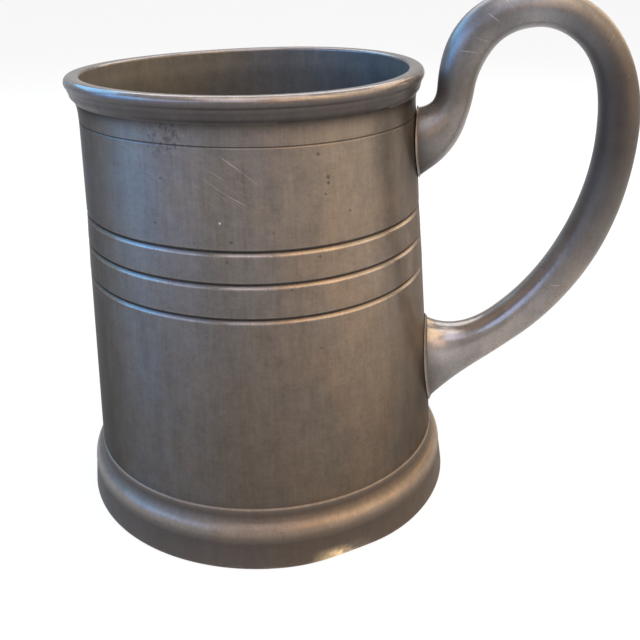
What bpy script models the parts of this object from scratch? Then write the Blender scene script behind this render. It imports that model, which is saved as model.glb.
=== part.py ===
"""Pewter pint mug with a swan-neck handle.

The mug is turned round the Z axis and stands on z = 0. The handle lies along +X,
and the whole mug is symmetrical about the plane y = 0. Sizes are in millimetres
and are turned into metres where the meshes are made.
"""

import math

import bmesh
import bpy
from mathutils import Matrix, Vector

MM = 0.001

# Body
mug_height = 114.5            # table to the top of the lip
lip_radius = 44.5             # widest point of the lip
mouth_radius = 40.7           # inner edge of the lip
neck_radius = 42.25           # drum just under the lip
drum_base_radius = 48.25      # drum at the seam above the foot
drum_flare_power = 1.26       # above 1 the drum widens faster towards the foot
drum_swell = 0.33             # the drum bulges a little round its middle
drum_swell_drop = 48.5        # widest place of the swell below the top of the lip
drum_swell_reach = 14.0
wall_thickness = 1.8
lip_height = 5.45             # top of the lip to where the drum begins to widen

# Lip, by distances below its top and in from its widest point
mouth_round = 0.7
lip_roll_radius = 1.5
lip_roll_angles = (90, -42)   # the roll starts on top and ends underneath
lip_ridges = ((3.0, 0.84, 0.34), (4.4, 1.48, 0.6))  # drop, distance in and radius of each
lip_ridge_angles = (45, -50)
lip_cove_radius = 2.0
lip_cove_drop = 7.3           # where the hollow under the lip runs into the drum

# Turned lines on the drum, by their distance below the top of the lip
fine_line_drop = 10.4
fine_line_width = 0.5
fine_line_depth = 0.3
band_drops = (33.2, 40.7, 48.9)
band_width = 1.3
band_depth = 0.6
groove_slant = 0.125          # the bottom of a groove lies this share of its width above its middle

# Foot and floor
foot_height = 15.7            # table to the seam
foot_radius = 52.1            # skirt at the table
skirt_draft = 1.0             # how much narrower the skirt is at its top
ovolo_radius = 4.4
ovolo_drop = 7.1              # middle of the ovolo below the seam
ovolo_angles = (56, 0)
foot_hollow = ((0.0, -0.05), (0.6, 0.1), (1.9, 0.18), (3.0, 0.75))  # drop, distance outside the drum
foot_wall = 3.2
foot_ledge_slope = ((1.0, 2.2), (2.0, 0.6))  # in from the skirt's inside, below the ledge
collar_clearance = 0.05       # the ring's inside stands this far inside the drum's wall
foot_edge_round = 0.7
foot_edge_angles = (5, -90)
foot_inner_chamfer = 0.4
floor_thickness = 2.2
floor_rise = 0.2              # top of the floor above the seam
floor_ledge_width = 2.25      # ledge of the foot that the floor rests on
floor_ledge_thickness = 2.0
floor_chamfer = 0.3
floor_fillet = 1.8            # legs of the solder fillet inside the mug
foot_fillet = 1.7             # legs of the solder fillet under the floor

# Handle, by the places that its middle line goes through. Each has its distance outside the
# drum's wall, its height, its direction in degrees, and how strongly it pulls the line before
# and after it. The two joints lie just inside the wall.
upper_places = (              # heights are measured down from the top of the lip
    (-0.62, 17.65, 25.8, 0.0, 8.0),       # upper joint
    (8.64, 5.17, 85.9, 3.8, 2.7),         # neck
    (26.8, -13.27, 0.0, 16.9, 10.0),      # crown
    (48.13, 16.45, -90.0, 21.4, 19.8),    # back
)
lower_places = (              # heights are measured up from the table
    (17.27, 43.72, -144.5, 22.8, 2.9),    # arm
    (-0.92, 36.21, -168.4, 9.6, 0.0),     # lower joint
)
handle_wall = 1.4

# Handle thickness: share of its length, half of its depth
grip_stations = ((0.0, 6.3), (0.085, 4.5), (0.165, 5.2), (0.3, 4.25), (0.36, 4.3),
                 (0.51, 5.0), (0.7, 5.4), (0.88, 5.3), (1.0, 4.1))
upper_flare_depth = 1.75      # added to the half depth at the upper joint
upper_flare_width = 0.8       # added to the half width at the upper joint
upper_flare_length = 11.0
upper_flare_power = 1.2
lower_flare_depth = 9.2
lower_flare_width = 3.6
lower_flare_length = 24.0
lower_flare_power = 2.35
root_share = 0.9              # share of a flare that has rings of its own
joint_fillet = 1.2            # legs of the solder fillets round the two joints

# Fit and fineness
seam_gap = 0.3                # left between pieces that are soldered together
turn_steps = 56
half_section_steps = 8
joint_steps = 32
root_steps = 6                # rings near each joint
grip_steps = 32               # rings between the joints
fillet_hollow = 0.32          # share of each leg in the middle point of a hollow fillet
heading_reach = 0.6           # the line's direction is taken over this far to each side
search_reach = 10.0           # how far beyond its ends the line is searched for the drum
search_halvings = 40
sharp_edge = 35               # degrees between faces above which an edge is shown sharp


# Outlines are lists of (radius, height) points

def arc(centre_r, centre_h, radius, start_deg, end_deg, steps):
    """Points of an arc, with both ends."""
    points = []
    for i in range(steps + 1):
        angle = math.radians(start_deg + (end_deg - start_deg) * i / steps)
        points.append((centre_r + radius * math.cos(angle), centre_h + radius * math.sin(angle)))
    return points


drum_base_height = foot_height + seam_gap
drum_top_height = mug_height - lip_height
floor_top_height = foot_height + floor_rise
floor_bottom_height = floor_top_height - floor_thickness
collar_radius = drum_base_radius - wall_thickness - collar_clearance
ledge_radius = collar_radius - floor_ledge_width


def drum_radius(height):
    """Outer radius of the plain drum at a height above the table."""
    share = (drum_top_height - height) / (drum_top_height - drum_base_height)
    share = min(max(share, 0.0), 1.0)
    flared = neck_radius + (drum_base_radius - neck_radius) * share ** drum_flare_power
    below_swell = (mug_height - drum_swell_drop - height) / drum_swell_reach
    swell = drum_swell * math.exp(-below_swell ** 2)
    return flared + swell


def groove(height, width, depth):
    """A turned V groove, read downwards: its upper side is steeper than its lower one."""
    top = height + width / 2
    bottom = height - width / 2
    return [(drum_radius(top), top),
            (drum_radius(height) - depth, height + width * groove_slant),
            (drum_radius(bottom), bottom)]


def plain_run(top, bottom, steps):
    """Inner points of a plain stretch of the drum, without its ends."""
    heights = [top + (bottom - top) * i / steps for i in range(1, steps)]
    return [(drum_radius(height), height) for height in heights]


def drum_outline():
    """The drum with its lip, from the mouth over the lip and down the outside, then up inside."""
    top = mug_height
    points = arc(mouth_radius + mouth_round, top - mouth_round, mouth_round, 180, 100, 3)
    points += arc(lip_radius - lip_roll_radius, top - lip_roll_radius, lip_roll_radius,
                  *lip_roll_angles, 7)
    for drop, inset, radius in lip_ridges:
        points += arc(lip_radius - inset, top - drop, radius, *lip_ridge_angles, 2)
    cove_height = top - lip_cove_drop
    cove_middle = drum_radius(cove_height) + lip_cove_radius
    points += arc(cove_middle, cove_height, lip_cove_radius, 125, 180, 4)
    fine_height = top - fine_line_drop
    band_heights = [top - drop for drop in band_drops]
    points += groove(fine_height, fine_line_width, fine_line_depth)
    points += plain_run(fine_height, band_heights[0], 4)
    for height, below in zip(band_heights, band_heights[1:] + [None]):
        points += groove(height, band_width, band_depth)
        if below is not None:
            points += plain_run(height, below, 2)
    points += plain_run(band_heights[-1], drum_base_height, 5)
    points.append((drum_radius(drum_base_height), drum_base_height))
    inner_steps = 8
    for i in range(inner_steps + 1):
        height = drum_base_height + (drum_top_height - drum_base_height) * i / inner_steps
        points.append((drum_radius(height) - wall_thickness, height))
    return points


def foot_outline():
    """The moulded foot ring, from the seam down the outside, then up inside to the ledge."""
    ledge_top = floor_bottom_height - seam_gap
    ledge_bottom = ledge_top - floor_ledge_thickness
    skirt_radius = foot_radius - skirt_draft
    points = [(drum_base_radius + out, foot_height - drop) for drop, out in foot_hollow]
    points += arc(skirt_radius - ovolo_radius, foot_height - ovolo_drop, ovolo_radius, *ovolo_angles, 6)
    points += arc(foot_radius - foot_edge_round, foot_edge_round, foot_edge_round,
                  *foot_edge_angles, 4)
    inner_radius = foot_radius - foot_wall
    points.append((inner_radius, 0.0))
    points.append((inner_radius - foot_inner_chamfer, foot_inner_chamfer))
    for inset, drop in foot_ledge_slope:
        points.append((inner_radius - inset, ledge_bottom - drop))
    points.append((ledge_radius, ledge_bottom))
    points.append((ledge_radius, ledge_top))
    points.append((collar_radius, ledge_top))
    points.append((collar_radius, foot_height))
    return points


def floor_outline():
    """The floor disc, from its underside out to its rim and back over the top."""
    radius = collar_radius - seam_gap
    return [(0.0, floor_bottom_height), (radius - floor_chamfer, floor_bottom_height),
            (radius, floor_bottom_height + floor_chamfer), (radius, floor_top_height - floor_chamfer),
            (radius - floor_chamfer, floor_top_height), (0.0, floor_top_height)]


def floor_seam_outline():
    """A hollow fillet in the corner between the floor and the drum's wall."""
    corner_h = floor_top_height + seam_gap
    top_h = corner_h + floor_fillet
    corner_r = drum_radius(corner_h) - wall_thickness - seam_gap
    top_r = drum_radius(top_h) - wall_thickness - seam_gap
    inner_r = corner_r - floor_fillet
    hollow = fillet_hollow * floor_fillet
    return [(corner_r, corner_h), (top_r, top_h), (corner_r - hollow, corner_h + hollow),
            (inner_r, corner_h)]


def foot_seam_outline():
    """A hollow fillet in the corner between the ledge and the underside of the floor."""
    corner_r = ledge_radius - seam_gap
    corner_h = floor_bottom_height - seam_gap
    hollow = fillet_hollow * foot_fillet
    return [(corner_r, corner_h), (corner_r - foot_fillet, corner_h),
            (corner_r - hollow, corner_h - hollow), (corner_r, corner_h - foot_fillet)]


# The handle is a round tube swept along its middle line in the plane y = 0

def direction(angle_deg):
    return Vector((math.cos(math.radians(angle_deg)), 0.0, math.sin(math.radians(angle_deg))))


def bezier_point(start, pull_start, pull_end, end, share):
    rest = 1.0 - share
    return (start * rest ** 3 + pull_start * (3 * rest ** 2 * share)
            + pull_end * (3 * rest * share ** 2) + end * share ** 3)


class MiddleLine:
    """The handle's middle line, measured along its length and straight beyond both ends."""

    def __init__(self, places, samples=40):
        self.points = []
        for here, there in zip(places, places[1:]):
            start = Vector((here[0], 0.0, here[1]))
            end = Vector((there[0], 0.0, there[1]))
            pull_start = start + direction(here[2]) * here[4]
            pull_end = end - direction(there[2]) * there[3]
            for i in range(samples):
                self.points.append(bezier_point(start, pull_start, pull_end, end, i / samples))
        self.points.append(Vector((places[-1][0], 0.0, places[-1][1])))
        self.lengths = [0.0]
        for before, after in zip(self.points, self.points[1:]):
            self.lengths.append(self.lengths[-1] + (after - before).length)
        self.length = self.lengths[-1]

    def span(self, distance):
        """The sampled stretch that holds a distance along the line."""
        last = len(self.points) - 2
        low, high = 0, last
        while low < high:
            middle = (low + high + 1) // 2
            if self.lengths[middle] <= distance:
                low = middle
            else:
                high = middle - 1
        return low

    def at(self, distance):
        i = self.span(distance)
        share = (distance - self.lengths[i]) / (self.lengths[i + 1] - self.lengths[i])
        return self.points[i].lerp(self.points[i + 1], share)

    def heading(self, distance):
        return (self.at(distance + heading_reach) - self.at(distance - heading_reach)).normalized()


def handle_places():
    """The places by their distance from the mug's axis and their height above the table."""
    hung = [(out, mug_height - drop, *course) for out, drop, *course in upper_places]
    return [(drum_radius(height) + out, height, *course)
            for out, height, *course in hung + list(lower_places)]


middle_line = MiddleLine(handle_places())
upper_root_length = upper_flare_length * root_share
lower_root_length = lower_flare_length * root_share


def grip_half_depth(share):
    """Half depth of the grip alone, eased from one station to the next."""
    share = min(max(share, 0.0), 1.0)
    for (start, size), (end, next_size) in zip(grip_stations, grip_stations[1:]):
        if share <= end:
            break
    along = (share - start) / (end - start)
    return size + (next_size - size) * along * along * (3 - 2 * along)


def half_sizes(distance):
    """Half depth and half width of the handle at a distance along its middle line."""
    grip = grip_half_depth(distance / middle_line.length)
    upper = max(1.0 - distance / upper_flare_length, 0.0) ** upper_flare_power
    from_end = middle_line.length - distance
    lower = max(1.0 - from_end / lower_flare_length, 0.0) ** lower_flare_power
    depth = grip + upper_flare_depth * upper + lower_flare_depth * lower
    width = grip + upper_flare_width * upper + lower_flare_width * lower
    return depth, width


def skin_point(distance, angle, offset):
    """A point of the handle's skin, moved out by an offset. Angle 0 lies on the outer bend."""
    depth, width = half_sizes(distance)
    heading = middle_line.heading(distance)
    outward = Vector((-heading.z, 0.0, heading.x))
    sideways = Vector((0.0, 1.0, 0.0))
    return (middle_line.at(distance) + outward * ((depth + offset) * math.cos(angle))
            + sideways * ((width + offset) * math.sin(angle)))


def drum_clearance(point):
    """Distance of a point from the drum's outside, beyond the seam gap."""
    return math.hypot(point.x, point.y) - drum_radius(point.z) - seam_gap


def meeting_distance(angle, offset, inside, outside):
    """Distance along the handle at which a line of its skin reaches the drum."""
    for _ in range(search_halvings):
        middle = (inside + outside) / 2
        if drum_clearance(skin_point(middle, angle, offset)) > 0:
            outside = middle
        else:
            inside = middle
    return outside


def upper_meeting(angle, offset):
    return meeting_distance(angle, offset, -search_reach, upper_root_length)


def lower_meeting(angle, offset):
    length = middle_line.length
    return meeting_distance(angle, offset, length + search_reach, length - lower_root_length)


def skin_distances(angle, offset):
    """Where the rings lie along one line of the skin: close at the joints, even between them."""
    start = upper_meeting(angle, offset)
    end = lower_meeting(angle, offset)
    first = upper_root_length
    last = middle_line.length - lower_root_length
    distances = [start + (first - start) * i / root_steps for i in range(root_steps)]
    distances += [first + (last - first) * i / grip_steps for i in range(grip_steps)]
    distances += [last + (end - last) * i / root_steps for i in range(root_steps + 1)]
    return distances


# Meshes

def new_object(name, mesh_maker, colour, metallic, roughness):
    """An object with its own mesh and its own material, shaded smooth."""
    mesh = bpy.data.meshes.new(name)
    bm = bmesh.new()
    mesh_maker(bm)
    bmesh.ops.recalc_face_normals(bm, faces=bm.faces)
    bmesh.ops.transform(bm, matrix=Matrix.Scale(MM, 4), verts=bm.verts)
    bm.to_mesh(mesh)
    bm.free()
    mesh.shade_smooth()
    mesh.set_sharp_from_angle(angle=math.radians(sharp_edge))
    material = bpy.data.materials.new(name)
    material.use_nodes = True
    shader = material.node_tree.nodes["Principled BSDF"]
    shader.inputs["Base Color"].default_value = (*colour, 1.0)
    shader.inputs["Metallic"].default_value = metallic
    shader.inputs["Roughness"].default_value = roughness
    mesh.materials.append(material)
    thing = bpy.data.objects.new(name, mesh)
    bpy.context.collection.objects.link(thing)
    return thing


def turn(bm, outline, closed):
    """Turn an outline round the Z axis. A closed one is a ring, an open one ends on the axis."""
    verts = [bm.verts.new((radius, 0.0, height)) for radius, height in outline]
    edges = [bm.edges.new(pair) for pair in zip(verts, verts[1:])]
    if closed:
        edges.append(bm.edges.new((verts[-1], verts[0])))
    bmesh.ops.spin(bm, geom=verts + edges, cent=(0, 0, 0), axis=(0, 0, 1), dvec=(0, 0, 0),
                   angle=math.tau, steps=turn_steps, use_merge=True, use_duplicate=False)
    bmesh.ops.remove_doubles(bm, verts=bm.verts, dist=0.001)


def turned_ring(outline):
    return lambda bm: turn(bm, outline, closed=True)


def turned_disc(outline):
    return lambda bm: turn(bm, outline, closed=False)


def handle_half(side):
    """One half of the hollow handle, on the side y > 0 for side 1 and y < 0 for side -1."""

    def make(bm):
        lines = []
        for offset in (0.0, -handle_wall):
            for i in range(half_section_steps + 1):
                angle = side * math.pi * i / half_section_steps
                line = []
                for distance in skin_distances(angle, offset):
                    point = skin_point(distance, angle, offset)
                    if i in (0, half_section_steps):
                        point.y = 0.0
                    line.append(bm.verts.new(point))
                lines.append(line)
        outer = lines[:half_section_steps + 1]
        inner = lines[half_section_steps + 1:]
        loop = outer + inner[::-1]
        rings = len(outer[0])
        for line, beside in zip(loop, loop[1:] + loop[:1]):
            for k in range(rings - 1):
                bm.faces.new((line[k], line[k + 1], beside[k + 1], beside[k]))
        for i in range(half_section_steps):
            for k in (0, rings - 1):
                bm.faces.new((outer[i][k], outer[i + 1][k], inner[i + 1][k], inner[i][k]))

    return make


def joint_fillet_ring(meeting, away):
    """A hollow solder fillet all round one joint. Away is the sense of leaving the drum."""

    def make(bm):
        sections = []
        for i in range(joint_steps):
            angle = math.tau * i / joint_steps
            start = meeting(angle, seam_gap)
            corner = skin_point(start, angle, seam_gap)
            tip = skin_point(start + away * joint_fillet, angle, seam_gap)
            wall_normal = Vector((corner.x, corner.y, 0.0)).normalized()
            spread = corner - skin_point(start, angle, seam_gap - 1.0)
            spread = (spread - wall_normal * spread.dot(wall_normal)).normalized()
            toe = corner + spread * joint_fillet
            sunk = min(drum_clearance(toe), 0.0)
            toe -= Vector((toe.x, toe.y, 0.0)).normalized() * sunk
            hollow = corner + (tip - corner) * fillet_hollow + (toe - corner) * fillet_hollow
            sections.append([bm.verts.new(point) for point in (corner, tip, hollow, toe)])
        for here, there in zip(sections, sections[1:] + sections[:1]):
            for k in range(4):
                following = (k + 1) % 4
                bm.faces.new((here[k], here[following], there[following], there[k]))

    return make


def build():
    for thing in list(bpy.data.objects):
        bpy.data.objects.remove(thing, do_unlink=True)
    pewter = (0.19, 0.185, 0.18)
    worn_pewter = (0.24, 0.23, 0.22)
    solder = (0.14, 0.14, 0.145)
    pieces = [
        new_object("drum", turned_ring(drum_outline()), pewter, 1.0, 0.42),
        new_object("foot_ring", turned_ring(foot_outline()), pewter, 1.0, 0.4),
        new_object("floor_disc", turned_disc(floor_outline()), pewter, 1.0, 0.5),
        new_object("floor_solder_seam", turned_ring(floor_seam_outline()), solder, 1.0, 0.5),
        new_object("foot_solder_seam", turned_ring(foot_seam_outline()), solder, 1.0, 0.5),
        new_object("handle_left_half", handle_half(1), worn_pewter, 1.0, 0.36),
        new_object("handle_right_half", handle_half(-1), worn_pewter, 1.0, 0.36),
        new_object("upper_solder_fillet", joint_fillet_ring(upper_meeting, 1.0), solder, 1.0, 0.45),
        new_object("lower_solder_fillet", joint_fillet_ring(lower_meeting, -1.0), solder, 1.0, 0.45),
    ]
    corners = [vert.co.x for piece in pieces for vert in piece.data.vertices]
    mug = bpy.data.objects.new("mug", None)
    mug.location.x = -(min(corners) + max(corners)) / 2
    bpy.context.collection.objects.link(mug)
    for piece in pieces:
        piece.parent = mug
    return pieces


build()
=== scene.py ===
"""An old pewter mug with a swan-neck handle, taken as a pint, on a pale table in soft light.

Lengths are in millimetres until a mesh or a place is made. The mug is turned round an
upright axis through the middle of the drum, and the handle lies along +X.
"""

import math

import bmesh
import bpy
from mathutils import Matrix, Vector


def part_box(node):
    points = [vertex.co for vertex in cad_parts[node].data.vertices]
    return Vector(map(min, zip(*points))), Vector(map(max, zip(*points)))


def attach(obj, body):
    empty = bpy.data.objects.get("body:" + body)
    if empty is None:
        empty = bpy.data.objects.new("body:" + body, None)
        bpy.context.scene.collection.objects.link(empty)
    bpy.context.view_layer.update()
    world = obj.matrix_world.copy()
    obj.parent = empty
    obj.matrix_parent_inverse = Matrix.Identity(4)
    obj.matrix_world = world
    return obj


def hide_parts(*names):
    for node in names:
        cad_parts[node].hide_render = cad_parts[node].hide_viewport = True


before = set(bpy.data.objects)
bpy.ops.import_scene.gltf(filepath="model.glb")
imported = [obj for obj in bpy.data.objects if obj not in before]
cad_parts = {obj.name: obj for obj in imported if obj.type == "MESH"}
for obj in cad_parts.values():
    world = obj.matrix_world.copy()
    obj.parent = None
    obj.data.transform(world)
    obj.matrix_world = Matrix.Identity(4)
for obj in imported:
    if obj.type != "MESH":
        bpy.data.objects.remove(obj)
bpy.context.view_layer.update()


# Drum
# The wall of the mug, cast in pewter and turned on a lathe, with a rolled lip, two soft ridges
# under it, one fine line and three cut bands. It leans a little, swells a little above the
# middle and is no longer quite round. Dark dirt and painted shade lie in its corners and under
# its lip, wear and a painted highlight lighten its lip and the lower edges of its bands, it is
# darker towards the foot as painted shade, and its inside is dull.

MM = 0.001
drum_low, drum_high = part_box("drum")
axis_x = (drum_low.x + drum_high.x) / 2 / MM
mug_top = drum_high.z / MM
drum_base = drum_low.z / MM
base_radius = 48.25
neck_radius = 42.25
lip_radius = 44.5
mouth_radius = 40.7
wall = 1.8
neck_drop = 5.45
flare_power = 1.26
lean_slope = -0.011
upright_height = 50.0
lip_knock = 0.35
knocked_heights = (103.0, 112.0)
lip_heights = (104.0, 110.0)
lip_saddle = 0.35
lip_tilt = 0.22
lip_drop = 0.1
band_heights = (22.0, 50.0)
band_fall = 0.72
egg_depth = 0.12
ripple_depth = 0.05
ripple_climb = 40.0
trued_radius = 40.0
swell = 0.33
swell_height = 66.0
swell_reach = 14.0


def drum_radius(height):
    """Outer radius of the plain drum at a height above the table."""
    share = (mug_top - neck_drop - height) / (mug_top - neck_drop - drum_base)
    share = min(max(share, 0.0), 1.0)
    flared = neck_radius + (base_radius - neck_radius) * share ** flare_power
    return flared + swell * math.exp(-((height - swell_height) / swell_reach) ** 2)


def ease(value, low, high):
    """0 at low, 1 at high and smooth between them."""
    share = min(max((value - low) / (high - low), 0.0), 1.0)
    return share * share * (3 - 2 * share)


def lean_at(height):
    """How far the mug's middle stands to the right of its upright axis."""
    return lean_slope * (height - upright_height) - lip_knock * ease(height, *knocked_heights)


def rise_at(height, angle):
    """How far a turned line has gone up or down: the cut bands run a little downhill towards
    the handle, and the lip is bent out of true like a saddle."""
    at_lip = ease(height, *lip_heights)
    at_bands = ease(height, *band_heights) * (1 - at_lip)
    saddle = lip_saddle * math.sin(2 * angle) + lip_tilt * math.cos(angle) - lip_drop
    towards_handle = ease(math.cos(angle + 0.4), 0.0, 0.9)
    return saddle * at_lip - band_fall * towards_handle * at_bands


# An outline is a list of (radius, height, age_and_light) points. age_and_light runs from -1, bright
# with wear and a painted highlight, through 0, plain, to 1, black with old dirt and painted shade.

def arc(centre_r, centre_h, radius, start_deg, end_deg, steps, ages_and_light=(0.0, 0.0)):
    """Points of an arc, with both ends."""
    points = []
    for i in range(steps + 1):
        share = i / steps
        angle = math.radians(start_deg + (end_deg - start_deg) * share)
        points.append((centre_r + radius * math.cos(angle), centre_h + radius * math.sin(angle),
                       ages_and_light[0] + (ages_and_light[1] - ages_and_light[0]) * share))
    return points


def finer(outline, longest, closed=True):
    """The outline with points added until no stretch is longer than the given length."""
    following = outline[1:] + outline[:1] if closed else outline[1:]
    points = []
    for here, there in zip(outline, following):
        steps = max(1, math.ceil(math.hypot(there[0] - here[0], there[1] - here[1]) / longest))
        for i in range(steps):
            points.append(tuple(a + (b - a) * i / steps for a, b in zip(here, there)))
    if not closed:
        points.append(outline[-1])
    return points


mouth_round = 0.7
lip_round = 1.5
# The two worn ridges and the hollow under the lip: set back from the lip, drop and age_and_light,
# which darkens them with dirt and painted shade.
under_lip = ((0.52, 2.62, 0.7), (0.57, 2.95, 0.6), (0.66, 3.3, 0.65), (0.8, 3.65, 0.75),
             (0.84, 4.0, 0.72), (0.9, 4.35, 0.72), (1.06, 4.75, 0.78), (1.3, 5.08, 0.85),
             (1.6, 5.4, 0.85), (1.85, 5.85, 0.7), (2.04, 6.4, 0.5), (2.17, 7.2, 0.25))
fine_line_drop = 10.4
band_drops = (33.2, 40.7, 48.9)


def cut_band(height, width, depth, dirt_and_shade, wear_and_highlight_rub):
    """A turned groove, read downwards: a steep flank darkened with dirt and painted shade over a
    sloping one lightened with wear and a painted highlight.
    """
    top = height + width / 2
    bottom = height - width / 2
    rounding = width * 0.12
    return [(drum_radius(top), top + 2 * rounding, 0.0),
            (drum_radius(top), top + rounding / 2, -0.3 * wear_and_highlight_rub),
            (drum_radius(top) - depth * 0.2, top - rounding / 2, 0.6 * dirt_and_shade),
            (drum_radius(height) - depth * 0.95, height + width * 0.12, dirt_and_shade),
            (drum_radius(height) - depth, height - width * 0.02, dirt_and_shade),
            (drum_radius(height) - depth * 0.8, height - width * 0.14, 0.1),
            (drum_radius(bottom) - depth * 0.12, bottom + rounding / 2, -wear_and_highlight_rub),
            (drum_radius(bottom), bottom - rounding / 2, -wear_and_highlight_rub),
            (drum_radius(bottom), bottom - 2 * rounding, 0.0)]


def drum_outline():
    """From the inner edge of the mouth over the lip, down the outside and up the inside."""
    top = mug_top
    # The lip's top and crest are lighter with wear and a painted highlight, and its underside is
    # darker with dirt and painted shade.
    points = arc(mouth_radius + mouth_round, top - 0.8, mouth_round, 180, 100, 5, (0.0, -0.8))
    points.append((mouth_radius + 2 * mouth_round, top - 0.04, -0.8))
    lip_centre = (lip_radius - lip_round, top - lip_round)
    points += arc(*lip_centre, lip_round, 92, 24, 8, (-0.75, -0.35))
    points += arc(*lip_centre, lip_round, 14, -42, 6, (0.2, 0.85))
    for set_back, drop, age_and_light in under_lip:
        points.append((lip_radius - set_back, top - drop, age_and_light))
    for drop, age_and_light in ((8.4, 0.05), (9.4, 0.0)):
        points.append((drum_radius(top - drop), top - drop, age_and_light))
    points += cut_band(top - fine_line_drop, width=0.5, depth=0.2, dirt_and_shade=0.6, wear_and_highlight_rub=0.15)
    for drop in band_drops:
        points += cut_band(top - drop, width=1.4, depth=0.55, dirt_and_shade=0.85, wear_and_highlight_rub=0.7)
    points.append((drum_radius(drum_base + 2.0), drum_base + 2.0, 0.0))
    points.append((drum_radius(drum_base), drum_base + 0.05, 0.15))
    points.append((drum_radius(drum_base) - 0.15, drum_base, 0.4))
    points.append((drum_radius(drum_base) - wall, drum_base, 0.8))
    points.append((drum_radius(drum_base + 6.0) - wall, drum_base + 6.0, 0.3))
    for height in (40.0, 60.0, 75.0, 85.0, 100.0):
        points.append((drum_radius(height) - wall, height, 0.0))
    points.append((drum_radius(top - neck_drop) - wall, top - neck_drop, 0.0))
    points.append((mouth_radius, top - 2.4, 0.0))
    return points


def hand_turned(radius, angle, height):
    """A point of a turned piece that is not quite round and leans a little, in metres."""
    egg = egg_depth * (1 + math.cos(2 * angle - 0.6))
    ripple = ripple_depth * (1 + math.sin(3 * angle + height / ripple_climb))
    radius = radius - (egg + ripple) * min(radius / trued_radius, 1.0)
    x = axis_x + radius * math.cos(angle) + lean_at(height)
    rise = rise_at(height, angle) * min(radius / trued_radius, 1.0)
    return Vector((x * MM, radius * math.sin(angle) * MM, (height + rise) * MM))


def turned(name, outline, around, closed=True):
    """A piece turned round the mug's axis, with the age_and_light of its surface, its wear, dirt and
    painted light, kept on its points.
    """
    bm = bmesh.new()
    ages_and_light = bm.verts.layers.float.new("age_and_light")
    rings = []
    for radius, height, age_and_light in outline:
        on_axis = radius < 0.001
        if on_axis:
            vert = bm.verts.new(hand_turned(0.0, 0.0, height))
            vert[ages_and_light] = age_and_light
            rings.append([vert] * around)
            continue
        ring = []
        for i in range(around):
            vert = bm.verts.new(hand_turned(radius, math.tau * i / around, height))
            vert[ages_and_light] = age_and_light
            ring.append(vert)
        rings.append(ring)
    following = rings[1:] + rings[:1] if closed else rings[1:]
    for here, there in zip(rings, following):
        for i in range(around):
            j = (i + 1) % around
            corners = []
            for vert in (here[i], here[j], there[j], there[i]):
                if vert not in corners:
                    corners.append(vert)
            if len(corners) > 2:
                bm.faces.new(corners)
    return finished(name, bm)


sharp_deg = 40


def finished(name, bm):
    """An object made from a bmesh, shaded smooth, its faces pointing out."""
    bmesh.ops.recalc_face_normals(bm, faces=bm.faces)
    mesh = bpy.data.meshes.new(name)
    bm.to_mesh(mesh)
    bm.free()
    mesh.shade_smooth()
    mesh.set_sharp_from_angle(angle=math.radians(sharp_deg))
    piece = bpy.data.objects.new(name, mesh)
    bpy.context.collection.objects.link(piece)
    return piece


class Link:
    """A socket in a material. Arithmetic on it adds Math nodes."""

    # A Mix node names its sockets alike for every kind of data, so the colour ones go by number.
    colour_a = 6
    colour_b = 7
    colour_out = 2

    def __init__(self, tree, socket):
        self.tree = tree
        self.socket = socket

    def node(self, kind, settings=None, inputs=None, output=0):
        """Any node: its settings first, then the values or links of its sockets."""
        made = self.tree.nodes.new("ShaderNode" + kind)
        for name, value in (settings or {}).items():
            setattr(made, name, value)
        for name, value in (inputs or {}).items():
            if isinstance(value, Link):
                self.tree.links.new(value.socket, made.inputs[name])
            else:
                made.inputs[name].default_value = value
        return Link(self.tree, made.outputs[output])

    def math(self, operation, *values):
        """A Math node on this value and the others."""
        inputs = {i: value for i, value in enumerate((self,) + values)}
        return self.node("Math", {"operation": operation}, inputs)

    def __add__(self, other):
        return self.math("ADD", other)

    __radd__ = __add__

    def __sub__(self, other):
        return self.math("SUBTRACT", other)

    def __rsub__(self, other):
        return self.math("MULTIPLY", -1.0).math("ADD", other)

    def __mul__(self, other):
        return self.math("MULTIPLY", other)

    __rmul__ = __mul__

    def clamped(self):
        """The value held between 0 and 1."""
        return self.math("MAXIMUM", 0.0).math("MINIMUM", 1.0)

    def step(self, low, high):
        """0 below low, 1 above high and smooth between them. High may lie below low."""
        inputs = {"Value": self, "From Min": low, "From Max": high}
        return self.node("MapRange", {"interpolation_type": "SMOOTHSTEP"}, inputs)

    def noise(self, scale, detail=2.0, roughness=0.5):
        """Noise from 0 to 1 at these coordinates, each stretched by its own scale."""
        stretched = self.node("VectorMath", {"operation": "MULTIPLY"}, {0: self, 1: scale})
        return self.node("TexNoise", {}, {"Vector": stretched, "Scale": 1.0, "Detail": detail,
                                          "Roughness": roughness})

    def scaled(self, value):
        """A colour made lighter or darker."""
        return self.node("VectorMath", {"operation": "SCALE"}, {0: self, "Scale": value})

    def between(self, one, other, share, blend="MIX"):
        """One colour turned into another one, or into their product, by a share."""
        return self.node("Mix", {"data_type": "RGBA", "blend_type": blend},
                         {0: share, self.colour_a: one, self.colour_b: other},
                         output=self.colour_out)

    def mixed(self, other, share, blend="MIX"):
        """This colour turned into another one by a share."""
        return self.between(self, other, share, blend)


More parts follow.
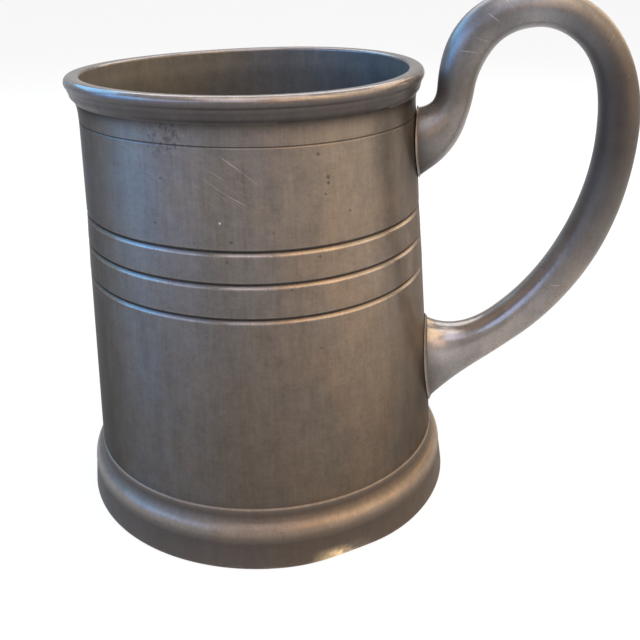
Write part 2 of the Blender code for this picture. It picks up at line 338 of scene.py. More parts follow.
class Pewter:
    """Old pewter: cloudy grey and brown, finely scratched, darker with dirt and painted shade and
    lighter with wear and painted highlights where its age_and_light says so.

    Low tone is its colour at the foot and high tone below the lip. Turning is how strongly the
    lathe's rings show, and edge how bright it stays where it is seen at a glancing angle.
    """

    cool_metal = (0.97, 1.0, 1.03, 1.0)
    warm_metal = (1.04, 1.0, 0.95, 1.0)
    dirt_and_shade_colour = (0.026, 0.022, 0.02, 1.0)
    wear_and_highlight_gain = 2.1

    def __init__(self, name, low_tone, high_tone, roughness, anisotropy=0.0, turning=0.0, edge=0.5,
                 metallic=0.6):
        self.material = bpy.data.materials.new(name)
        self.material.use_nodes = True
        tree = self.material.node_tree
        self.shader = tree.nodes["Principled BSDF"]
        self.shader.inputs["Metallic"].default_value = metallic
        self.shader.inputs["Specular Tint"].default_value = (edge, edge, edge, 1.0)
        self.shader.inputs["Anisotropic"].default_value = anisotropy
        self.shader.inputs["Anisotropic Rotation"].default_value = 0.25
        start = Link(tree, None)
        metres = start.node("TexCoord", output="Object")
        place = metres.node("VectorMath", {"operation": "MULTIPLY_ADD"},
                            {0: metres, 1: (1.0 / MM,) * 3, 2: (-axis_x, 0.0, 0.0)})
        self.place = place
        self.z = place.node("SeparateXYZ", {}, {0: place}, output="Z")
        age_and_light = start.node("Attribute", {"attribute_name": "age_and_light"}, output="Fac")
        dirt_and_shade = age_and_light.clamped()
        wear_and_highlight = (age_and_light * -1.0).clamped()

        clouds = place.noise((0.05, 0.05, 0.035), detail=3.0, roughness=0.55)
        blotches = place.noise((0.22, 0.22, 0.2), detail=4.0, roughness=0.6)
        grain = place.noise((2.2, 2.2, 2.2), detail=3.0, roughness=0.65)
        smears = place.noise((0.35, 0.35, 0.03), detail=3.0, roughness=0.5)
        rings = place.noise((0.02, 0.02, 3.2), detail=2.0, roughness=0.6)
        weave = place.noise((0.7, 0.7, 0.9), detail=3.0, roughness=0.6)
        streaks = place.noise((1.6, 1.6, 0.12), detail=2.0, roughness=0.5)

        tone = place.between(low_tone, high_tone, self.z.step(8.0, 100.0))
        hue = place.between(self.cool_metal, self.warm_metal, clouds.step(0.35, 0.65))
        shade = (1.0 + 0.55 * (blotches - 0.5) + 0.4 * (grain - 0.5) + 0.3 * (smears - 0.5)
                 + 0.35 * (weave - 0.5) + 0.25 * (streaks - 0.5) + turning * 0.12 * (rings - 0.5))
        self.colour = tone.mixed(hue, 1.0, blend="MULTIPLY").scaled(shade)
        self.rough = roughness + 0.2 * (blotches - 0.5) + 0.1 * (grain - 0.5)
        self.relief = 0.05 * clouds + 0.02 * blotches + 0.004 * grain + turning * 0.005 * rings
        # Where age_and_light is below 0 the metal is lightened for wear and painted highlights, and
        # where it is above 0 it is darkened for dirt and painted shade.
        self.lighten(wear_and_highlight * (0.8 + 0.2 * grain), self.wear_and_highlight_gain)
        self.rough = self.rough - 0.2 * wear_and_highlight
        dirt_and_shade_mask = (dirt_and_shade * (0.7 + 0.6 * blotches)).clamped()
        self.stain(dirt_and_shade_mask, self.dirt_and_shade_colour)
        self.rough = self.rough + 0.15 * dirt_and_shade_mask

    def lighten(self, mask, factor):
        """Makes the metal lighter or darker where the mask is 1."""
        self.colour = self.colour.mixed(self.colour.scaled(factor), mask)

    def stain(self, mask, colour):
        """Covers the metal with a colour where the mask is 1."""
        self.colour = self.colour.mixed(colour, mask)

    def spot(self, centre, radius, soft=0.5):
        """1 inside a round place on the skin, in millimetres from the mug's axis."""
        away = self.place.node("VectorMath", {"operation": "DISTANCE"}, {0: self.place, 1: centre},
                               output="Value")
        return away.step(radius, radius * (1 - soft))

    def line(self, start, end, width):
        """1 on a straight hairline between two places on the front of the mug."""
        start, end = Vector(start), Vector(end)
        run = end - start
        offset = self.place.node("VectorMath", {"operation": "SUBTRACT"}, {0: self.place, 1: start})
        along = offset.node("VectorMath", {"operation": "DOT_PRODUCT"},
                            {0: offset, 1: run / run.length_squared}, output="Value").clamped()
        foot = self.place.node("VectorMath", {"operation": "SCALE"}, {0: run, "Scale": along})
        across = offset.node("VectorMath", {"operation": "SUBTRACT"}, {0: offset, 1: foot})
        across = across.node("VectorMath", {"operation": "MULTIPLY"}, {0: across, 1: (1.0, 0.1, 1.0)})
        away = across.node("VectorMath", {"operation": "LENGTH"}, {0: across}, output="Value")
        taper = along * (1.0 - along) * 4.0
        return away.step(width, width * 0.3) * (0.35 + 0.65 * taper)

    def finish(self):
        """Links colour, roughness and relief to the shader and gives the material."""
        tree = self.material.node_tree
        bump = self.relief.node("Bump", {}, {"Strength": 1.0, "Distance": MM, "Height": self.relief})
        tree.links.new(self.colour.socket, self.shader.inputs["Base Color"])
        tree.links.new(self.rough.socket, self.shader.inputs["Roughness"])
        tree.links.new(bump.socket, self.shader.inputs["Normal"])
        return self.material


def on_drum(azimuth_deg, height):
    """A place on the drum's outside, in millimetres from the mug's axis."""
    radius = drum_radius(height)
    azimuth = math.radians(azimuth_deg)
    return (radius * math.cos(azimuth) + lean_at(height), radius * math.sin(azimuth), height)


drum = turned("drum_turned", finer(drum_outline(), longest=2.2), around=192)
# The drum is darker and browner towards the foot than below the lip; the darkening towards the foot
# is painted shade.
brown_base = (0.1, 0.085, 0.071, 1.0)
grey_neck = (0.156, 0.142, 0.13, 1.0)
outside = Pewter("drum_pewter", brown_base, grey_neck, roughness=0.42, anisotropy=0.85,
                 turning=1.0, edge=0.32, metallic=0.9)

# Two long fresh scratches below the lip with fainter ones beside them, and a few elsewhere. Each
# goes from one azimuth and height to another and has a width and a strength.
scratches = (((-88.0, 101.9), (-82.3, 98.7), 0.13, 1.0), ((-82.3, 98.7), (-77.7, 95.8), 0.1, 0.6),
             ((-93.9, 97.4), (-86.9, 93.8), 0.1, 0.6), ((-86.9, 93.8), (-81.4, 91.4), 0.13, 0.9),
             ((-84.1, 97.0), (-80.8, 95.5), 0.1, 0.4), ((-90.6, 98.7), (-87.5, 97.0), 0.1, 0.35),
             ((-96.4, 96.0), (-91.8, 94.0), 0.08, 0.3), ((-83.7, 94.7), (-80.4, 93.5), 0.1, 0.35),
             ((-92.4, 99.4), (-86.1, 96.2), 0.09, 0.35), ((-91.0, 95.0), (-84.0, 91.0), 0.09, 0.4),
             ((-88.5, 96.6), (-82.9, 93.4), 0.08, 0.35), ((-86.2, 93.0), (-81.9, 90.6), 0.08, 0.3),
             ((-93.0, 92.6), (-88.6, 90.0), 0.08, 0.25), ((-82.0, 97.6), (-78.8, 96.0), 0.08, 0.3),
             ((-68.0, 99.0), (-63.5, 101.5), 0.08, 0.25), ((-52.0, 74.0), (-47.5, 75.6), 0.08, 0.35),
             ((-96.0, 62.0), (-91.5, 59.6), 0.08, 0.2), ((-74.0, 31.0), (-69.0, 33.5), 0.08, 0.2),
             ((-90.0, 91.5), (-84.5, 88.6), 0.08, 0.2), ((-87.0, 99.0), (-83.5, 97.4), 0.08, 0.2))
fresh_cut = 2.1
for start, end, width, strength in scratches:
    scratch = outside.line(on_drum(*start), on_drum(*end), width) * strength
    outside.lighten(scratch, fresh_cut)

# Corroded pits, dark, ragged and a little sunk, each with its azimuth, height and size, and one
# pale speck.
pits = ((-59.9, 101.4, 0.5), (-57.0, 96.2, 0.5), (-57.0, 94.9, 0.4), (-58.1, 92.6, 0.3),
        (-86.5, 83.5, 0.45), (-88.0, 79.0, 0.4), (-60.8, 78.8, 0.4), (-106.8, 96.8, 0.35),
        (-113.1, 88.8, 0.35), (-110.0, 86.8, 0.3), (-74.3, 85.2, 0.25), (-97.5, 83.0, 0.25),
        (-98.0, 69.0, 0.3), (-70.0, 72.0, 0.3), (-50.0, 88.0, 0.3), (-62.0, 57.0, 0.3),
        (30.0, 66.0, 0.5), (62.0, 91.0, 0.4), (101.0, 52.0, 0.5), (140.0, 84.0, 0.4),
        (-160.0, 61.0, 0.5), (-146.0, 97.0, 0.4), (175.0, 40.0, 0.5))
torn = outside.place.noise((1.6, 1.6, 1.1), detail=3.0, roughness=0.7).step(0.38, 0.52)
pit_darkness = 0.45
pit_depth = 0.08
for azimuth, height, size in pits:
    pit = outside.spot(on_drum(azimuth, height), size * 1.3, 0.8) * torn
    outside.lighten(pit, pit_darkness)
    outside.relief = outside.relief - pit_depth * pit
pale_speck = outside.spot(on_drum(-89.4, 87.7), 0.32, 0.5)
outside.stain(pale_speck, (0.5, 0.5, 0.5, 1.0))

# A speckled place below the lip. The drum beside the handle is made lighter because it is
# lighter in the photograph: this is painted light.
scuffed = outside.spot(on_drum(-104.0, 106.0), 7.0, 0.7)
fleck = outside.place.noise((0.9, 0.9, 0.7), detail=3.0, roughness=0.7)
outside.lighten(scuffed * fleck.step(0.52, 0.36), 0.6)
outside.lighten(scuffed * fleck.step(0.6, 0.7), 1.45)
painted_light_by_handle = outside.spot(on_drum(-8.0, 62.0), 52.0, 0.95)
outside.lighten(painted_light_by_handle, 1.45)

dull_base = (0.088, 0.092, 0.092, 1.0)
dull_neck = (0.107, 0.109, 0.103, 1.0)
inside = Pewter("inside_pewter", dull_base, dull_neck, roughness=0.62, turning=0.6)

# The lip is smoother and shinier than the drum.
lip_tone = (0.126, 0.117, 0.114, 1.0)
lip = Pewter("lip_pewter", lip_tone, lip_tone, roughness=0.3, anisotropy=0.3, turning=0.6,
             edge=0.8)

drum.data.materials.append(outside.finish())
drum.data.materials.append(inside.finish())
drum.data.materials.append(lip.finish())
well_inside = 1.2
mouth_edge = mug_top - 1.0
lip_foot = mug_top - 5.9
for face in drum.data.polygons:
    middle = face.center / MM
    away = math.hypot(middle.x - axis_x - lean_at(middle.z), middle.y)
    if away < drum_radius(middle.z) - well_inside and middle.z < mouth_edge:
        face.material_index = 1
    elif middle.z > lip_foot:
        face.material_index = 2
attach(drum, "root")
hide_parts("drum")


# Foot
# The moulded foot ring, cast and turned like the drum and soldered on under it: a narrow
# shoulder, a hollow, a bold round and a plain skirt. Its lower edge is knocked and rubbed bright.
# The seam line and the crest of the round carry a painted highlight, and the hollow and the
# skirt a painted shade.

foot_low, foot_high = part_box("foot_ring")
foot_top = foot_high.z / MM
foot_radius = (foot_high.x - foot_low.x) / 2 / MM
skirt_radius = foot_radius - 1.0
bold_round = 4.4
edge_round = 0.7
ledge_radius = 44.15
ledge_width = 2.25
ledge_low = 11.4
ledge_top = 13.4


def foot_outline():
    """From the seam down the outside, then up inside to the ledge under the floor."""
    top_radius = drum_radius(drum_base)
    points = [(top_radius - 0.1, foot_top + 0.28, 0.4)]
    # The seam line is lightened with a painted highlight and the hollow under it darkened with
    # painted shade.
    points += arc(top_radius - 0.06, foot_top, 0.22, 90, -20, 4, (0.0, -0.9))
    for out, drop, age_and_light in ((0.1, 0.6, 0.15), (0.1, 1.2, 0.4), (0.18, 1.9, 0.55),
                           (0.4, 2.5, 0.45), (0.75, 3.0, 0.2)):
        points.append((top_radius + out, foot_top - drop, age_and_light))
    round_centre = (skirt_radius - bold_round, foot_top - 7.1)
    # The crest of the round is lightened with a painted highlight, and the skirt below it darkened
    # with painted shade down to its rubbed lower edge.
    points += arc(*round_centre, bold_round, 56, 34, 6, (0.1, -0.7))
    points += arc(*round_centre, bold_round, 26, 0, 6, (-0.7, 0.2))
    points.append((skirt_radius + 0.15, foot_top - 8.6, 0.6))
    points += arc(foot_radius - edge_round, edge_round, edge_round, 5, -90, 6, (0.45, -0.4))
    for inwards, height, age_and_light in ((3.2, 0.0, 0.0), (3.6, 0.4, 0.4), (4.2, 9.0, 0.6),
                                 (5.2, 10.7, 0.8)):
        points.append((foot_radius - inwards, height, age_and_light))
    points.append((ledge_radius, ledge_low, 0.6))
    points.append((ledge_radius, ledge_top, 0.8))
    points.append((ledge_radius + ledge_width, ledge_top, 0.8))
    points.append((ledge_radius + ledge_width, foot_top, 0.8))
    return points


foot = turned("foot_turned", finer(foot_outline(), longest=1.6), around=256)

# The front right of the lower edge was knocked in and up.
knock_azimuth = -56.0
knock_spread = 11.0
knock_height = 7.0
knocked_in = 0.75
knocked_up = 0.15
for vert in foot.data.vertices:
    place = vert.co / MM - Vector((axis_x, 0.0, 0.0))
    azimuth = math.degrees(math.atan2(place.y, place.x))
    knocked = math.exp(-((azimuth - knock_azimuth) / knock_spread) ** 2)
    knocked *= ease(knock_height - place.z, 0.0, knock_height)
    inwards = Vector((-place.x, -place.y, 0.0)).normalized()
    upwards = Vector((0.0, 0.0, ease(3.0 - place.z, 0.0, 2.0)))
    vert.co += (inwards * knocked_in + upwards * knocked_up) * knocked * MM

foot_tone = (0.12, 0.1, 0.081, 1.0)
foot_metal = Pewter("foot_pewter", foot_tone, foot_tone, roughness=0.5, anisotropy=0.2,
                    turning=0.6, edge=0.7)

# Beside the knock the lower edge has a bright golden place, made as a scrape, with a lighter
# place round it: both are a painted highlight on the knocked metal. All round, the lower edge is
# worn in places.
flecks = foot_metal.place.noise((0.8, 0.8, 0.8), detail=3.0, roughness=0.6)
painted_knock_glint = foot_metal.spot((24.0, -46.0, 0.6), 6.4, 0.9) * foot_metal.z.step(4.4, 1.2)
painted_glint_colour = (0.5, 0.4, 0.24, 1.0)
foot_metal.stain(painted_knock_glint * (0.6 + 0.4 * flecks.step(0.35, 0.65)), painted_glint_colour)
painted_knock_highlight = foot_metal.spot((28.5, -42.5, 0.4), 8.0, 0.8) * foot_metal.z.step(4.6, 1.0)
foot_metal.lighten(painted_knock_highlight * (0.5 + 0.5 * flecks.step(0.4, 0.6)), 2.2)
patches = foot_metal.place.noise((0.25, 0.25, 0.5), detail=3.0, roughness=0.6).step(0.45, 0.6)
foot_metal.lighten(foot_metal.z.step(1.6, 0.2) * patches, 1.6)
foot_metal.rough = foot_metal.rough - 0.15 * painted_knock_glint
foot.data.materials.append(foot_metal.finish())
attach(foot, "root")
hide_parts("foot_ring")


# Floor of the mug
# A flat cast disc let in from below, turned on its top, and the two rings of solder that hold
# it: one in the corner inside the mug and one under it, behind the foot.

disc_low, disc_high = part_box("floor_disc")
let_in = 0.25
disc_radius = (disc_high.x - disc_low.x) / 2 / MM + let_in
disc_top = disc_high.z / MM
disc_under = disc_low.z / MM
worn_middle = 20.0
inner_leg = 2.0
under_leg = 1.9


def floor_outline():
    """From the middle of the underside out to the rim and back over the top."""
    return [(0.0, disc_under, 0.2), (worn_middle, disc_under, 0.2), (disc_radius, disc_under, 0.6),
            (disc_radius, disc_top, 0.7), (disc_radius - 3.0, disc_top, 0.5),
            (worn_middle, disc_top, 0.2), (0.0, disc_top, 0.15)]


def seam_outline(corner_r, corner_h, leg, away):
    """A hollow fillet of solder in a corner. Away is 1 for upwards and -1 for downwards."""
    points = [(corner_r, corner_h, 0.4), (corner_r, corner_h + away * leg, 0.5)]
    for angle_deg in (15, 30, 45, 60, 75):
        angle = math.radians(angle_deg)
        points.append((corner_r - leg * (1 - math.cos(angle)),
                       corner_h + away * leg * (1 - math.sin(angle)), 0.2))
    points.append((corner_r - leg, corner_h, 0.5))
    return points


floor_rings = finer(floor_outline(), longest=2.5, closed=False)
mug_floor = turned("floor_turned", floor_rings, around=160, closed=False)
floor_tone = (0.075, 0.071, 0.066, 1.0)
floor_metal = Pewter("floor_pewter", floor_tone, floor_tone, roughness=0.55, anisotropy=0.3,
                     turning=1.0)
mug_floor.data.materials.append(floor_metal.finish())
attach(mug_floor, "root")
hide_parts("floor_disc")

low_solder = (0.14, 0.128, 0.115, 1.0)
high_solder = (0.17, 0.158, 0.145, 1.0)
solder = Pewter("solder", low_solder, high_solder, roughness=0.38).finish()
inner_corner = drum_radius(disc_top) - wall
floor_corner = seam_outline(inner_corner, disc_top, inner_leg, 1)
foot_corner = seam_outline(ledge_radius, disc_under, under_leg, -1)
floor_seam = turned("floor_seam_run", floor_corner, around=160)
foot_seam = turned("foot_seam_run", foot_corner, around=160)
for seam, node in ((floor_seam, "floor_solder_seam"), (foot_seam, "foot_solder_seam")):
    seam.data.materials.append(solder)
    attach(seam, "root")
    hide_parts(node)


# Handle
# A hollow swan-neck handle cast in two halves, soldered together along the mug's middle plane
# and filed smooth. It springs from the neck, rises over the lip and sweeps down to the drum.
# Its metal is brightest near the lower joint, with wear and with a painted highlight.

# Each place: distance from the mug's axis, height, heading, and the pull before and after it.
handle_places = (
    (42.08, 96.85, 25.8, 0.0, 8.0),
    (50.89, 109.33, 85.9, 3.8, 2.7),
    (69.05, 127.72, 0.0, 16.9, 10.0),
    (90.74, 98.05, -90.0, 21.4, 19.8),
    (63.39, 43.72, -144.5, 22.8, 2.9),
    (45.74, 36.21, -168.4, 9.6, 0.0),
)
# Half the thickness of the handle at shares of its length.
grip_stations = ((0.0, 6.3), (0.085, 4.5), (0.165, 5.2), (0.3, 4.25), (0.36, 4.3),
                 (0.51, 5.0), (0.7, 5.4), (0.88, 5.3), (1.0, 4.1))
# The age_and_light of the skin along the handle, fitted to the photograph: darker round the outer
# bend, and bright near the lower joint with wear and a painted highlight.
handling_and_light = ((0.0, -0.2), (0.06, -0.3), (0.1, 0.2), (0.16, -0.2), (0.2, 0.0), (0.27, -0.5),
            (0.34, 0.3), (0.43, 0.8), (0.52, 0.8), (0.6, 0.5), (0.66, 0.25), (0.72, -0.2),
            (0.78, -0.6), (0.88, -1.0), (0.95, -0.8), (1.0, -0.3))
# What each joint's trumpet adds in depth and in width, how long it is and how fast it narrows.
upper_flare = (1.75, 0.8, 11.0, 1.2)
lower_flare = (9.2, 3.6, 24.0, 2.35)
# The joints lie within these lengths of the two ends, and this deep in the drum's wall.
upper_root = 13.0
lower_root = 19.0
beyond_end = 10.0
joint_depth = 0.15


def direction(angle_deg):
    """A unit vector in the mug's middle plane, by its angle above +X."""
    return Vector((math.cos(math.radians(angle_deg)), 0.0, math.sin(math.radians(angle_deg))))


class MiddleLine:
    """The handle's middle line, measured along its length."""

    def __init__(self, places, samples=60):
        self.points = []
        for here, there in zip(places, places[1:]):
            start = Vector((here[0], 0.0, here[1]))
            end = Vector((there[0], 0.0, there[1]))
            pull_start = start + direction(here[2]) * here[4]
            pull_end = end - direction(there[2]) * there[3]
            for i in range(samples):
                t = i / samples
                s = 1 - t
                self.points.append(start * s ** 3 + pull_start * (3 * s * s * t)
                                   + pull_end * (3 * s * t * t) + end * t ** 3)
        self.points.append(Vector((places[-1][0], 0.0, places[-1][1])))
        self.lengths = [0.0]
        for before, after in zip(self.points, self.points[1:]):
            self.lengths.append(self.lengths[-1] + (after - before).length)
        self.length = self.lengths[-1]

    def at(self, distance):
        """The place at a distance along the line, and on beyond its two ends."""
        low, high = 0, len(self.points) - 2
        while low < high:
            middle = (low + high + 1) // 2
            if self.lengths[middle] <= distance:
                low = middle
            else:
                high = middle - 1
        share = (distance - self.lengths[low]) / (self.lengths[low + 1] - self.lengths[low])
        return self.points[low].lerp(self.points[low + 1], share)

    def heading(self, distance):
        """The way that the line runs there."""
        return (self.at(distance + 0.6) - self.at(distance - 0.6)).normalized()


middle_line = MiddleLine(handle_places)


def eased(stations, share):
    """A size that eases from one station to the next."""
    share = min(max(share, 0.0), 1.0)
    for (start, size), (end, next_size) in zip(stations, stations[1:]):
        if share <= end:
            break
    along = (share - start) / (end - start)
    return size + (next_size - size) * along * along * (3 - 2 * along)


def flare(sizes, distance):
    """What a joint's trumpet adds to the half depth and the half width."""
    depth, width, length, power = sizes
    share = max(1.0 - distance / length, 0.0) ** power
    return depth * share, width * share


def handle_skin(distance, angle, offset=0.0):
    """A point of the handle's skin, in millimetres from the mug's axis. Angle 0 is the outer bend."""
    grip = eased(grip_stations, distance / middle_line.length)
    upper = flare(upper_flare, distance)
    lower = flare(lower_flare, middle_line.length - distance)
    depth = grip + upper[0] + lower[0] + offset
    width = grip + upper[1] + lower[1] + offset
    heading = middle_line.heading(distance)
    outward = Vector((-heading.z, 0.0, heading.x))
    return (middle_line.at(distance) + outward * (depth * math.cos(angle))
            + Vector((0.0, width * math.sin(angle), 0.0)))


def off_the_wall(point):
    """How far a point lies outside the leaning drum."""
    return math.hypot(point.x - lean_at(point.z), point.y) - drum_radius(point.z)


def meeting(angle, in_drum, in_air, depth):
    """Distance along the handle at which a line of its skin is this deep in the drum."""
    for _ in range(40):
        middle = (in_drum + in_air) / 2
        if off_the_wall(handle_skin(middle, angle)) > -depth:
            in_air = middle
        else:
            in_drum = middle
    return in_air


def upper_meeting(angle, depth):
    """Where the upper end of the handle goes into the drum."""
    return meeting(angle, -beyond_end, upper_root, depth)


def lower_meeting(angle, depth):
    """Where the lower end of the handle goes into the drum."""
    return meeting(angle, middle_line.length + beyond_end, middle_line.length - lower_root, depth)


def in_metres(point):
    """A point in millimetres from the mug's axis, as a place in the scene."""
    return Vector(((point.x + axis_x) * MM, point.y * MM, point.z * MM))


def handle_rings(angle, near_upper=16, along=130, near_lower=24):
    """Distances of the rings along one line of the skin, even but for the two roots."""
    start = upper_meeting(angle, joint_depth)
    end = lower_meeting(angle, joint_depth)
    last = middle_line.length - lower_root
    distances = [start + (upper_root - start) * i / near_upper for i in range(near_upper)]
    distances += [upper_root + (last - upper_root) * i / along for i in range(along)]
    distances += [last + (end - last) * i / near_lower for i in range(near_lower + 1)]
    return distances


def handle_age_and_light(distance, angle):
    """How dark or light the handle's skin is at a point: lighter on the palm side with wear and
    painted light, lighter on the outside above the lower arm, darker on the outside of the lower arm,
    and darker with dirt close to the two joints.
    """
    share = distance / middle_line.length
    to_end = min(distance, middle_line.length - distance)
    lower_arm = ease(share, 0.72, 0.85)
    outer = max(math.cos(angle), 0.0)
    palm_wear_and_light = max(-math.cos(angle), 0.0) ** 2
    # The palm side is lightened for wear and as painted light.
    age_and_light = eased(handling_and_light, share) - 0.35 * palm_wear_and_light - 0.25 * outer * (1 - lower_arm)
    age_and_light += 0.5 * outer * lower_arm
    return age_and_light * min(max(to_end / 4.0, 0.0), 1.0) + 0.5 * max(1 - to_end / 3.0, 0.0)


def handle_mesh(around):
    """The skin as lines along the handle, closed where each end goes into the drum."""
    bm = bmesh.new()
    ages_and_light = bm.verts.layers.float.new("age_and_light")
    lines = []
    for i in range(around):
        angle = math.tau * i / around
        line = []
        for distance in handle_rings(angle):
            vert = bm.verts.new(in_metres(handle_skin(distance, angle)))
            vert[ages_and_light] = handle_age_and_light(distance, angle)
            line.append(vert)
        lines.append(line)
    for line, beside in zip(lines, lines[1:] + lines[:1]):
        for k in range(len(line) - 1):
            bm.faces.new((line[k], line[k + 1], beside[k + 1], beside[k]))
    for end in (0, -1):
        rim = [line[end] for line in lines]
        middle = sum((vert.co for vert in rim), Vector()) / len(rim)
        centre = bm.verts.new(middle)
        for here, there in zip(rim, rim[1:] + rim[:1]):
            bm.faces.new((here, there, centre))
    return bm


handle = finished("handle_cast", handle_mesh(around=56))
low_handle_tone = (0.124, 0.116, 0.112, 1.0)
high_handle_tone = (0.114, 0.113, 0.113, 1.0)
handle_metal = Pewter("handle_pewter", low_handle_tone, high_handle_tone, roughness=0.4, edge=0.9)

# Small nicks from knocks across the outer bend, each at a distance along the handle, from one
# side angle to the other and with its width. The place by the lower joint is lighter to match
# the photograph: a painted highlight.
nicks = ((56.0, 18, 62, 0.16), (60.5, 30, 75, 0.12), (62.5, 52, 88, 0.12), (68.0, 12, 50, 0.13),
         (71.0, 40, 66, 0.1), (79.0, 8, 38, 0.13), (86.0, 28, 52, 0.1), (34.0, 62, 96, 0.14),
         (38.0, 48, 80, 0.1), (25.0, 70, 110, 0.12), (29.0, 88, 122, 0.1), (126.0, 80, 104, 0.12))
for distance, start_deg, end_deg, width in nicks:
    start = handle_skin(distance, math.radians(-start_deg))
    end = handle_skin(distance + 1.2, math.radians(-end_deg))
    handle_metal.lighten(handle_metal.line(start, end, width), 2.2)
painted_joint_glint = handle_skin(middle_line.length - 5.0, math.radians(-115))
handle_metal.lighten(handle_metal.spot(painted_joint_glint, 7.0, 0.9), 1.7)
handle.data.materials.append(handle_metal.finish())
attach(handle, "root")
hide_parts("handle_left_half", "handle_right_half")


# Solder at the two handle joints
# Soft solder that ran round each root of the handle and was wiped off, so that it stands as a
# thin uneven bead in the corner between handle and drum.

upper_bead_size = 0.5
lower_bead_size = 0.75
proud = 0.02


def joint_bead(name, meet, away, size, around=96):
    """A bead of solder all round one joint. Away is the sense of leaving the drum."""
    bm = bmesh.new()
    ages_and_light = bm.verts.layers.float.new("age_and_light")
    sections = []
    for i in range(around):
        angle = math.tau * i / around
        leg = size * (1 + 0.1 * math.sin(3 * angle + 1) + 0.06 * math.sin(7 * angle))
        start = meet(angle, 0.0)
        corner = handle_skin(start, angle)
        tip = handle_skin(start + away * leg, angle, proud)
        outward = Vector((corner.x - lean_at(corner.z), corner.y, 0.0)).normalized()
        spread = corner - handle_skin(start, angle, -1.0)
        spread = (spread - outward * spread.dot(outward)).normalized()
        toe = corner + spread * leg
        toe -= outward * (off_the_wall(toe) - proud)
        section = []
        for share in (0.0, 0.2, 0.4, 0.6, 0.8, 1.0):
            point = tip.lerp(toe, share)
            sag = 4 * share * (1 - share)
            point = point.lerp(corner, -0.12 * sag)
            section.append((point, 0.45 - 0.8 * share))
        section.append((corner - outward * 0.15 - spread * 0.1, 0.6))
        ring = []
        for point, age_and_light in section:
            vert = bm.verts.new(in_metres(point))
            vert[ages_and_light] = age_and_light
            ring.append(vert)
        sections.append(ring)
    for here, there in zip(sections, sections[1:] + sections[:1]):
        for k in range(len(here)):
            following = (k + 1) % len(here)
            bm.faces.new((here[k], here[following], there[following], there[k]))
    return finished(name, bm)


upper_bead = joint_bead("upper_joint_bead", upper_meeting, 1.0, upper_bead_size)
lower_bead = joint_bead("lower_joint_bead", lower_meeting, -1.0, lower_bead_size)
for bead, node in ((upper_bead, "upper_solder_fillet"), (lower_bead, "lower_solder_fillet")):
    bead.data.materials.append(solder)
    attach(bead, "root")
    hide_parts(node)


# Table and studio
# A plain white table in a pale grey studio, with soft lamps round the mug: warm ones on the right
# and in front, cool ones on the left, and pale ones behind and above. The lamps' places, colours
# and strengths were fitted to the photograph, because the room that the metal reflects is not
# known. Some of the colours are strong, and how the mug looks under other lamps was not tried.

def seen_directly(tree):
    """1 where the camera, a reflection or a refraction looks at the surface itself."""
    start = Link(tree, None)
    camera_ray = start.node("LightPath", output="Is Camera Ray")
    glossy_ray = start.node("LightPath", output="Is Glossy Ray")
    clear_ray = start.node("LightPath", output="Is Transmission Ray")
    return camera_ray.math("MAXIMUM", glossy_ray).math("MAXIMUM", clear_ray)


table_radii = (300.0, 900.0, 3000.0)
table_sides = 96
bm = bmesh.new()
rims = []
for radius in table_radii:
    turns = [math.tau * i / table_sides for i in range(table_sides)]
    rims.append([bm.verts.new((radius * MM * math.cos(turn), radius * MM * math.sin(turn), 0.0))
                 for turn in turns])
bm.faces.new(rims[0])
for inner, outer in zip(rims, rims[1:]):
    for i in range(table_sides):
        j = (i + 1) % table_sides
        bm.faces.new((inner[i], outer[i], outer[j], inner[j]))
table = finished("table", bm)
table_white = bpy.data.materials.new("table_white")
table_white.use_nodes = True
tree = table_white.node_tree
tree.nodes.clear()
start = Link(tree, None)
matt = start.node("BsdfDiffuse", {}, {"Color": (0.92, 0.92, 0.92, 1.0)})
white = start.node("Emission", {}, {"Color": (1.0, 1.0, 1.0, 1.0), "Strength": 1.0})
shown_white = 0.86
surface = start.node("MixShader", {}, {0: seen_directly(tree) * shown_white, 1: matt, 2: white})
output = tree.nodes.new("ShaderNodeOutputMaterial")
tree.links.new(surface.socket, output.inputs["Surface"])
table.data.materials.append(table_white)

world = bpy.data.worlds.new("studio_grey")
world.use_nodes = True
bpy.context.scene.world = world
tree = world.node_tree
tree.nodes.clear()
start = Link(tree, None)
surroundings = start.node("Background", {}, {"Color": (0.54, 0.55, 0.54, 1.0), "Strength": 1.0})
output = tree.nodes.new("ShaderNodeOutputWorld")
tree.links.new(surroundings.socket, output.inputs["Surface"])


lamp_distance = 700.0
mug_middle = Vector((axis_x, 0.0, 60.0))


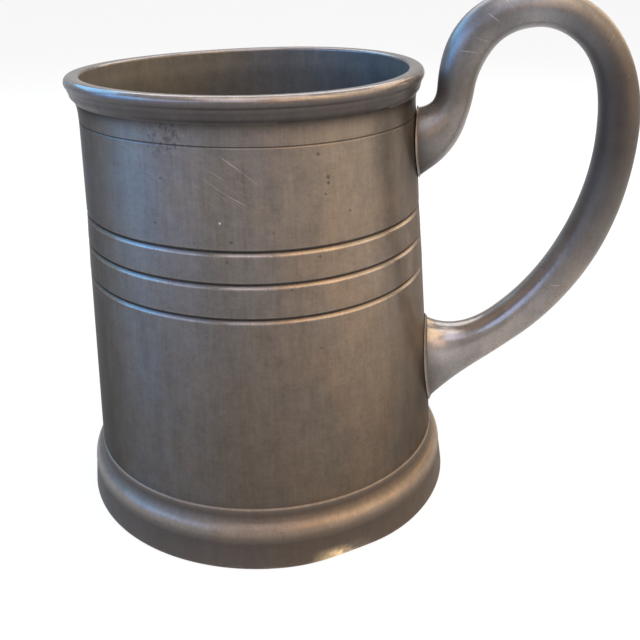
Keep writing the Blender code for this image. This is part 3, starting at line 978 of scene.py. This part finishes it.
def soft_lamp(name, azimuth, elevation, size, radiance):
    """A rectangular soft lamp that faces the mug. Its place is in degrees, its size in
    millimetres, and its radiance red, green and blue."""
    lamp = bpy.data.lights.new(name, "AREA")
    lamp.shape = "RECTANGLE"
    lamp.size = size[0] * MM
    lamp.size_y = size[1] * MM
    strongest = max(radiance)
    lamp.energy = math.pi * lamp.size * lamp.size_y * strongest
    lamp.color = [channel / strongest for channel in radiance]
    stand = bpy.data.objects.new(name, lamp)
    stand.visible_camera = False
    bpy.context.collection.objects.link(stand)
    turn = math.radians(azimuth)
    tilt = math.radians(elevation)
    away = Vector((math.cos(tilt) * math.cos(turn), math.cos(tilt) * math.sin(turn), math.sin(tilt)))
    stand.location = (mug_middle + away * lamp_distance) * MM
    stand.rotation_euler = away.to_track_quat("Z", "Y").to_euler()


soft_lamp("warm_window", 322.0, 42.0, (400.0, 540.0), (3.0, 1.9, 1.0))
soft_lamp("warm_side", 352.0, 40.0, (360.0, 540.0), (1.9, 1.4, 0.9))
soft_lamp("warm_low", 345.0, 11.0, (560.0, 230.0), (2.8, 1.8, 1.0))
soft_lamp("warm_right", 18.0, 36.0, (260.0, 520.0), (1.7, 1.2, 0.7))
soft_lamp("warm_behind", 44.0, 28.0, (340.0, 480.0), (3.8, 2.6, 1.6))
soft_lamp("warm_front", 297.0, 24.0, (240.0, 300.0), (1.7, 0.9, 0.5))
soft_lamp("high_front", 272.0, 50.0, (300.0, 500.0), (1.75, 1.65, 2.0))
soft_lamp("cool_front", 228.0, 24.0, (420.0, 300.0), (1.1, 1.6, 3.0))
soft_lamp("cool_left", 196.0, 22.0, (380.0, 420.0), (0.4, 1.9, 4.6))
soft_lamp("cool_behind", 150.0, 36.0, (460.0, 300.0), (0.6, 2.4, 4.5))
soft_lamp("pale_behind", 95.0, 48.0, (640.0, 400.0), (3.0, 2.9, 2.9))
soft_lamp("overhead", 300.0, 82.0, (500.0, 400.0), (3.0, 2.5, 2.2))


# Camera
# It stands as the photographer did, a little above the lip and in front of the mug, and is
# turned a little round its own line of sight.

camera_data = bpy.data.cameras.new("camera")
camera_data.sensor_width = 36.0
camera_data.lens = 45.4
camera_data.clip_start = 0.01
camera_data.clip_end = 50.0
camera = bpy.data.objects.new("camera", camera_data)
bpy.context.collection.objects.link(camera)
bpy.context.scene.camera = camera
camera_place = Vector((axis_x + 39.565, -205.76, 141.48))
sight = Vector((-0.10103, 0.90153, -0.42076))
camera_roll_deg = -0.9035
camera.location = camera_place * MM
camera.rotation_euler = sight.to_track_quat("-Z", "Y").to_euler()
camera.rotation_euler.rotate_axis("Z", math.radians(camera_roll_deg))

bpy.context.scene.view_settings.view_transform = "Standard"
